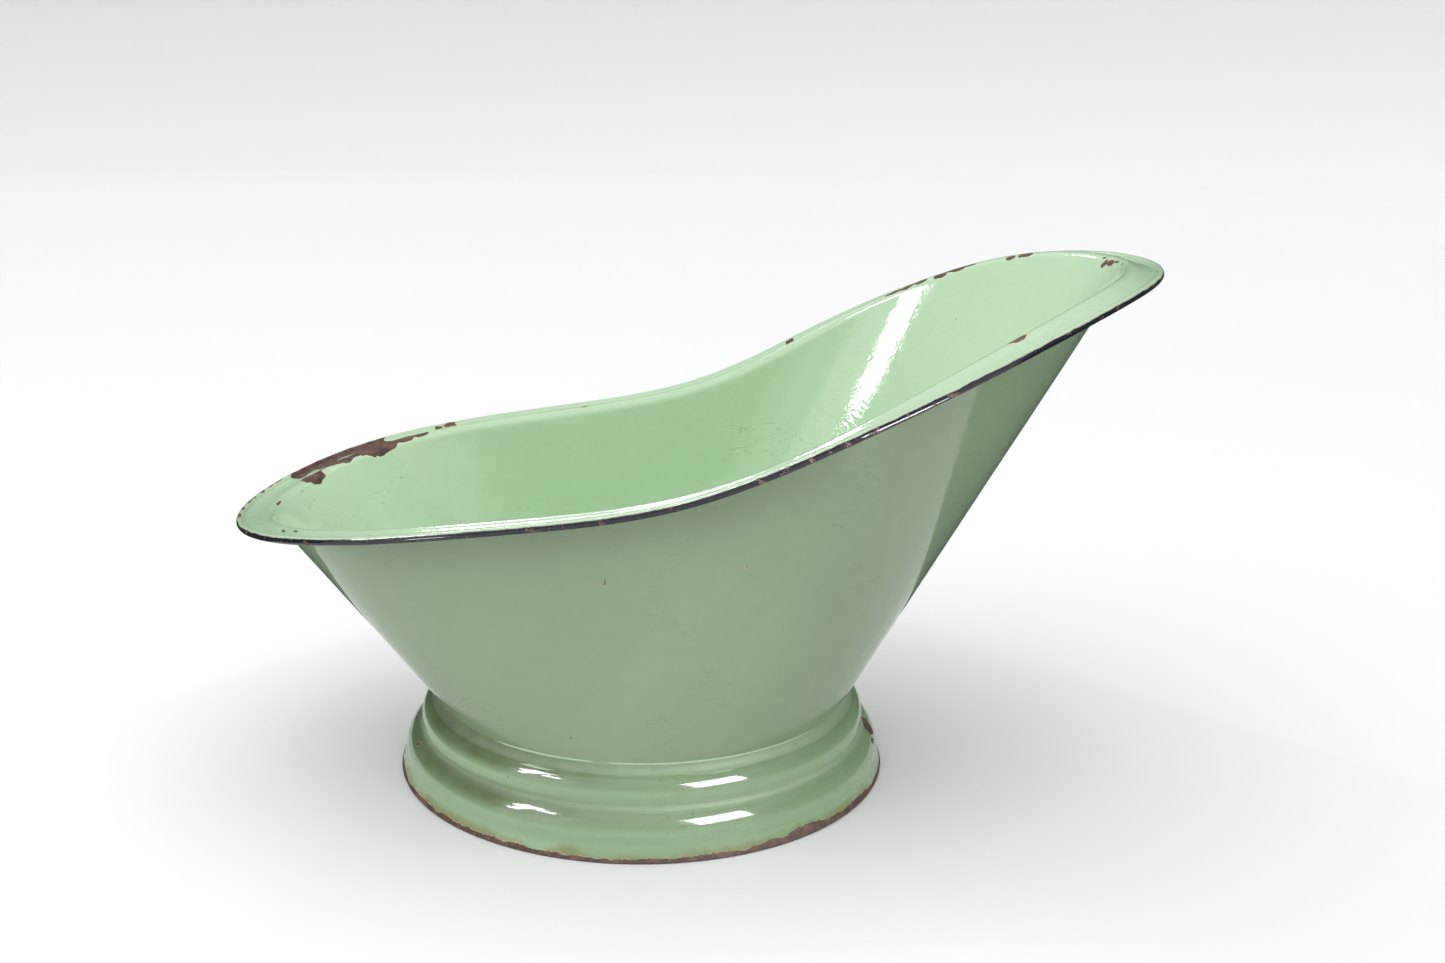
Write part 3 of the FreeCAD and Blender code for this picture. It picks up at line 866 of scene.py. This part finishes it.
def glaze(g, coat, has_flange):
    """The glass itself: its mottled colour, its gloss and its frozen waves."""
    clouds = g.spread(g.grain(*CLOUDS), 0.34, 0.66, 0.975, 1.02)
    mottle = g.spread(g.grain(*MOTTLE), 0.3, 0.75, 0.985, 1.02)
    tone = g.product(clouds, mottle)
    # painted shade: the flange's colour is darkened
    if has_flange:
        tone = g.product(tone, g.spread(g.field("flange"), 0, 1, 1.0, FLANGE_PAINTED_SHADE))
    rubbed = g.spread(g.grain(*RUBBING, g.stretched(1, 1, 2.2)), 0.45, 0.72)
    roughness = g.spread(rubbed, 0, 1, ENAMEL_GLOSS, ENAMEL_WORN, soft=False)
    relief = g.sum(g.product(g.grain(*PEEL), PEEL_RELIEF),
                   g.product(g.grain(*FINE_PEEL), FINE_PEEL_RELIEF))
    if has_flange:
        relief = g.product(relief, g.spread(g.field("inner"), 0, 1, 1.0, PEEL_INSIDE))
    return g.scaled(coat, tone), roughness, relief


def scratched(g, colour):
    """Hairline scratches in some areas, and small dark pits everywhere."""
    lines = g.grain(*SCRATCH_LINES, g.stretched(1, 1, 3.5), 0.6)
    hairline = g.product(g.spread(lines, 0.4950, 0.4990), g.spread(lines, 0.5050, 0.5010))
    where = g.spread(g.grain(*SCRATCHED_AREAS), 0.58, 0.66)
    scratch = g.product(g.product(hairline, where), SCRATCH_SHARE)
    colour = g.mix(scratch, colour, SCRATCH)
    return g.mix(g.pits(PIT_SPACING, PIT_RADIUS, PIT_RARITY), colour, RUST_DARK)


def dirty_and_shaded(g, colour, roughness):
    """Old dirt and painted shade on the ledges, and dull grooves."""
    patches = g.spread(g.grain(*DIRT_AND_SHADE_PATCHES), 0.25, 0.75, 0.8, 1.0)
    dirt_and_shade = g.product(g.field("dirt_and_shade"), patches)
    dull = g.sum(roughness, g.product(g.field("groove"), GROOVE_ROUGH))
    return g.mix(g.product(dirt_and_shade, DIRT_AND_SHADE_SHARE), colour, DIRT_AND_SHADE), dull


def stained(g, colour):
    """Stain that creeps up from the foot's rusted edge."""
    drips = g.sum(g.field("stain"), g.ragged(STAIN_DRIPS, 9.0))
    share = g.product(g.spread(drips, -2.0, 5.0), STAIN_SHARE)
    return g.mix(share, colour, g.mix(g.grain(*STAIN_TINTS), STAIN_YELLOW, STAIN_BROWN))


def black_edge(g, colour):
    """The rim's edge is dipped black. Also gives where the black is worn through."""
    dipped = g.sum(g.field("black"), g.ragged(BLACK_OUTLINE, 2.6))
    black = g.spread(dipped, -0.25, 0.25)
    worn = g.spread(g.grain(*BLACK_WEAR), 0.59, 0.63)
    colour = g.mix(g.spread(dipped, -0.8, -0.1), colour, BLACK_FRINGE)
    return g.mix(black, colour, BLACK_ENAMEL), g.product(black, worn)


def chipped(g, colour, ground_shown):
    """A ragged line of ground coat round the chips. Also gives where the steel is bare."""
    outline = g.sum(g.ragged(CHIP_OUTLINE, 3.4), g.ragged(CHIP_TEETH, 1.1))
    inside = g.sum(g.field("bare"), outline)
    patches = g.spread(g.grain(*GROUND_PATCHES), 0.42, 0.60, 0.0, ground_shown)
    ground = g.product(g.spread(inside, -0.8, -0.3), patches)
    return g.mix(ground, colour, GROUND_COAT), g.spread(inside, -0.12, 0.12)


def rust(g):
    """Colour and relief of bare rusted sheet."""
    fine = g.grain(*RUST_GRAIN)
    colour = g.mix(g.spread(g.grain(*RUST_BLOTCHES), 0.40, 0.62), RUST_DARK, RUST_WARM)
    colour = g.mix(g.product(g.spread(fine, 0.56, 0.72), 0.55), colour, RUST_ORANGE)
    return colour, g.sum(g.product(fine, RUST_RELIEF), -RUST_DEPTH)


def enamel(name, green, has_flange=False, has_black=False, has_stain=False, has_bare=True,
           has_dirt_and_shade=False):
    """Pale green vitreous enamel over rusting sheet steel. Each mark follows a field of the mesh,
    in millimetres inside its outline, and noise breaks that outline up."""
    g = Graph(name)
    # painted light and shade: the inner face takes the lit green, the outer face the shaded one
    coat = g.mix(g.field("inner"), green, GREEN_INSIDE_LIT) if has_flange else green
    colour, roughness, height = glaze(g, coat, has_flange)
    colour = scratched(g, colour)
    # dirt and painted shade on the foot's ledges and grooves
    if has_dirt_and_shade:
        colour, roughness = dirty_and_shaded(g, colour, roughness)
    if has_stain:
        colour = stained(g, colour)
    gone = []
    if has_black:
        colour, worn = black_edge(g, colour)
        gone.append(worn)
    if has_bare:
        colour, bare = chipped(g, colour, 0.55 if has_stain else 0.85)
        gone.append(bare)
    if gone:
        share = g.maths("MAXIMUM", *gone) if len(gone) == 2 else gone[0]
        rust_colour, rust_height = rust(g)
        colour = g.mix(share, colour, rust_colour)
        roughness = g.blend(share, roughness, RUST_ROUGH)
        height = g.blend(share, height, rust_height)
    return g.finish({"Base Color": colour, "Roughness": roughness, "IOR": GLASS_IOR}, height)


def steel_wire():
    """Drawn steel wire, lightly rusted."""
    g = Graph("wire_steel")
    blotch = g.grain(*WIRE_BLOTCHES)
    rusted = g.spread(blotch, 0.48, 0.60)
    inputs = {"Base Color": g.mix(rusted, STEEL, RUST_WARM),
              "Roughness": g.spread(blotch, 0.3, 0.7, 0.35, 0.8),
              "Metallic": g.spread(rusted, 0, 1, 1.0, 0.1)}
    return g.finish(inputs, g.product(g.grain(*WIRE_GRAIN), WIRE_RELIEF))


def paint(piece, material):
    """One material all over the piece."""
    if piece.data.materials:
        for index in range(len(piece.data.materials)):
            piece.data.materials[index] = material
    else:
        piece.data.materials.append(material)


# ---------------------------------------------------------------- the object

rims = RimFrames()
tub = tub_wall(rims)
foot = foot_ring()
pan = tub_bottom()
joint = neck_joint(rims)

paint(tub, enamel("tub_enamel", GREEN_OUTSIDE_SHADED, has_flange=True, has_black=True))
# the foot and the joint carry dirt and painted shade
paint(foot, enamel("foot_enamel", GREEN_FOOT, has_stain=True, has_dirt_and_shade=True))
paint(pan, enamel("bottom_enamel", GREEN_INSIDE_LIT))
paint(joint, enamel("joint_enamel", GREEN_FOOT, has_bare=False, has_dirt_and_shade=True))
paint(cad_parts["rim_wire"], steel_wire())

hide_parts("tub_wall")
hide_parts("foot_ring")
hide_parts("tub_bottom")
for piece, slot in ((tub, "tub_enamel"), (pan, "tub_enamel"),
                    (joint, "foot_enamel"), (foot, "foot_enamel")):
    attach(piece, "root")


# ---------------------------------------------------------------- floor, light and camera

FLOOR_PAINT = (0.715, 0.710, 0.710, 1)
FLOOR_ROUGH = 0.6
FLOOR_AROUND = 96
FLOOR_FLAT = (0.02, 1.0, 2.0, 6.5)         # radii of the floor's level rings
FLOOR_BEND, FLOOR_BEND_STEPS = 1.6, 16
FLOOR_TOP = 2.1

CARD_PAINT = (0.012, 0.045, 0.034, 1)
CARD_ROUGH = 0.7
CARD_STEPS = 8
ROOM_CORNER = (-0.02, 0.61)
ROOM_LEFT, ROOM_NEAR_LEFT, ROOM_RIGHT = (-0.57, -0.01), (-0.75, -0.45), (1.65, -0.84)
CARDS = {                                  # ends and height
    "card_left": (ROOM_CORNER, ROOM_LEFT, 0.54),
    "card_near_left": (ROOM_LEFT, ROOM_NEAR_LEFT, 0.68),
    "card_right": (ROOM_CORNER, ROOM_RIGHT, 0.54),
}

OBJECT_MIDDLE = (0.03, 0, 0.2)
SOFT_LIGHTS = {                            # azimuth, elevation, distance, width, height, watts
    "ceiling": (0, 89, 3.3, 4.5, 4.5, 20),
    "fill_left": (-50, 26, 3.2, 2.0, 2.0, 14),
    "fill_right": (40, 22, 3.2, 2.0, 2.0, 8),
}
GLOSS_LIGHTS = {                           # the same, and what the light is aimed at
    "window_left": (-66, 40, 3.0, 0.56, 1.45, 64, OBJECT_MIDDLE),
    "window_middle": (-52, 45, 0.25, 0.045, 0.032, 0.12, (-0.06, -0.187, 0.059)),
    "window_right": (47, 35, 0.38, 0.21, 0.20, 3.4, (0.05, -0.19, 0.05)),
    "band_behind": (-160, 31, 3.0, 0.34, 0.30, 6.4, (-0.10, -0.21, 0.28)),
}

SKY_COLOUR = (0.97, 0.98, 1.0, 1)
SKY_UP = (-0.16, -0.03, 1.0)               # the bright side of the dome
SKY_RAMP = {"From Min": 0.25, "From Max": 0.85, "To Min": 0.35, "To Max": 1.85}
SKY_IN_GLOSS = 0.45                        # the shine sees a dimmer dome than the light that falls

CAMERA_PLACE = (0.0931, -1.4005, 0.6390)
CAMERA_TILT, CAMERA_YAW, CAMERA_ROLL = 15.15, 1.0, 1.18
CAMERA_LENS, SENSOR = 40.82, 36.0


def plain(name, colour, roughness):
    """A plain painted surface for the stage."""
    material = bpy.data.materials.new(name)
    material.use_nodes = True
    surface = material.node_tree.nodes["Principled BSDF"]
    surface.inputs["Base Color"].default_value = colour
    surface.inputs["Roughness"].default_value = roughness
    return material


def studio_floor():
    """A round pale sweep: a flat floor that curves up into a low wall well away from the object."""
    outline = [(radius, 0.0) for radius in FLOOR_FLAT]
    flat_end = FLOOR_FLAT[-1]
    for i in range(1, FLOOR_BEND_STEPS + 1):
        angle = math.radians(90 * i / FLOOR_BEND_STEPS)
        outline.append((flat_end + FLOOR_BEND * math.sin(angle), FLOOR_BEND * (1 - math.cos(angle))))
    outline.append((flat_end + FLOOR_BEND, FLOOR_TOP))
    rows = turned_rows(outline, FLOOR_AROUND)
    index = np.arange(len(rows) * FLOOR_AROUND).reshape(len(rows), FLOOR_AROUND)
    lower, upper = index[:-1], index[1:]
    quads = np.stack([lower, upper, np.roll(upper, -1, axis=1), np.roll(lower, -1, axis=1)], axis=-1)
    mesh = bpy.data.meshes.new("floor")
    faces = quads.reshape(-1, 4).tolist() + [index[0].tolist()]
    mesh.from_pydata(np.concatenate(rows).tolist(), [], faces)
    mesh.polygons.foreach_set("use_smooth", [True] * len(mesh.polygons))
    floor = bpy.data.objects.new("floor", mesh)
    bpy.context.scene.collection.objects.link(floor)
    paint(floor, plain("floor_paint", FLOOR_PAINT, FLOOR_ROUGH))


def towards(azimuth, elevation, distance):
    """A place seen from the object. Azimuth 0 is the camera's side, -Y, and turns towards +X."""
    a, e = math.radians(azimuth), math.radians(elevation)
    return Vector((math.sin(a) * math.cos(e), -math.cos(a) * math.cos(e), math.sin(e))) * distance


def soft_light(name, azimuth, elevation, distance, width, height, power, aim=OBJECT_MIDDLE):
    light = bpy.data.lights.new(name, "AREA")
    light.shape = "RECTANGLE"
    light.size, light.size_y, light.energy = width, height, power
    lamp = bpy.data.objects.new(name, light)
    lamp.location = Vector(aim) + towards(azimuth, elevation, distance)
    lamp.rotation_euler = (lamp.location - Vector(aim)).to_track_quat("Z", "Y").to_euler()
    lamp.visible_camera = False
    bpy.context.scene.collection.objects.link(lamp)
    return lamp


def gloss_light(name, *settings):
    """Seen in the enamel's shine, but without lighting the floor or the object."""
    lamp = soft_light(name, *settings)
    lamp.visible_diffuse = False
    lamp.visible_transmission = False


def room_card(name, start, end, height):
    """An upright dark card that the shiny enamel reflects and nothing else sees."""
    points, faces = [], []
    for i in range(CARD_STEPS + 1):
        share = i / CARD_STEPS
        x, y = start[0] + (end[0] - start[0]) * share, start[1] + (end[1] - start[1]) * share
        points += [(x, y, 0.0), (x, y, height)]
    for i in range(CARD_STEPS):
        faces.append((2 * i, 2 * i + 2, 2 * i + 3, 2 * i + 1))
    mesh = bpy.data.meshes.new(name)
    mesh.from_pydata(points, [], faces)
    card = bpy.data.objects.new(name, mesh)
    bpy.context.scene.collection.objects.link(card)
    paint(card, plain(name + "_paint", CARD_PAINT, CARD_ROUGH))
    card.visible_camera = card.visible_diffuse = card.visible_shadow = False
    card.visible_transmission = card.visible_volume_scatter = False


def sky():
    """A soft dome, bright overhead and dimmer near the horizon."""
    world = bpy.data.worlds.new("world")
    world.use_nodes = True
    tree = world.node_tree

    def node(kind, **settings):
        new = tree.nodes.new("ShaderNode" + kind)
        for key, value in settings.items():
            setattr(new, key, value)
        return new

    place = node("TexCoord")
    height = node("VectorMath", operation="DOT_PRODUCT")
    height.inputs[1].default_value = SKY_UP
    tree.links.new(place.outputs["Generated"], height.inputs[0])
    ramp = node("MapRange", interpolation_type="SMOOTHSTEP")
    for key, value in SKY_RAMP.items():
        ramp.inputs[key].default_value = value
    tree.links.new(height.outputs["Value"], ramp.inputs["Value"])
    path = node("LightPath")
    shine = node("MapRange")
    shine.inputs["To Min"].default_value = 1.0
    shine.inputs["To Max"].default_value = SKY_IN_GLOSS
    tree.links.new(path.outputs["Is Glossy Ray"], shine.inputs["Value"])
    dimmed = node("Math", operation="MULTIPLY")
    tree.links.new(ramp.outputs["Result"], dimmed.inputs[0])
    tree.links.new(shine.outputs["Result"], dimmed.inputs[1])
    dome = tree.nodes["Background"]
    dome.inputs["Color"].default_value = SKY_COLOUR
    tree.links.new(dimmed.outputs[0], dome.inputs["Strength"])
    bpy.context.scene.world = world


def camera():
    data = bpy.data.cameras.new("camera")
    data.lens, data.sensor_width = CAMERA_LENS, SENSOR
    view = bpy.data.objects.new("camera", data)
    turn = (Matrix.Rotation(math.radians(CAMERA_YAW), 4, "Z")
            @ Matrix.Rotation(math.radians(90 - CAMERA_TILT), 4, "X")
            @ Matrix.Rotation(math.radians(CAMERA_ROLL), 4, "Z"))
    view.matrix_world = Matrix.Translation(CAMERA_PLACE) @ turn
    bpy.context.scene.collection.objects.link(view)
    bpy.context.scene.camera = view


studio_floor()
for name, settings in SOFT_LIGHTS.items():
    soft_light(name, *settings)
for name, settings in GLOSS_LIGHTS.items():
    gloss_light(name, *settings)
for name, settings in CARDS.items():
    room_card(name, *settings)
sky()
camera()
bpy.context.scene.view_settings.view_transform = "Standard"
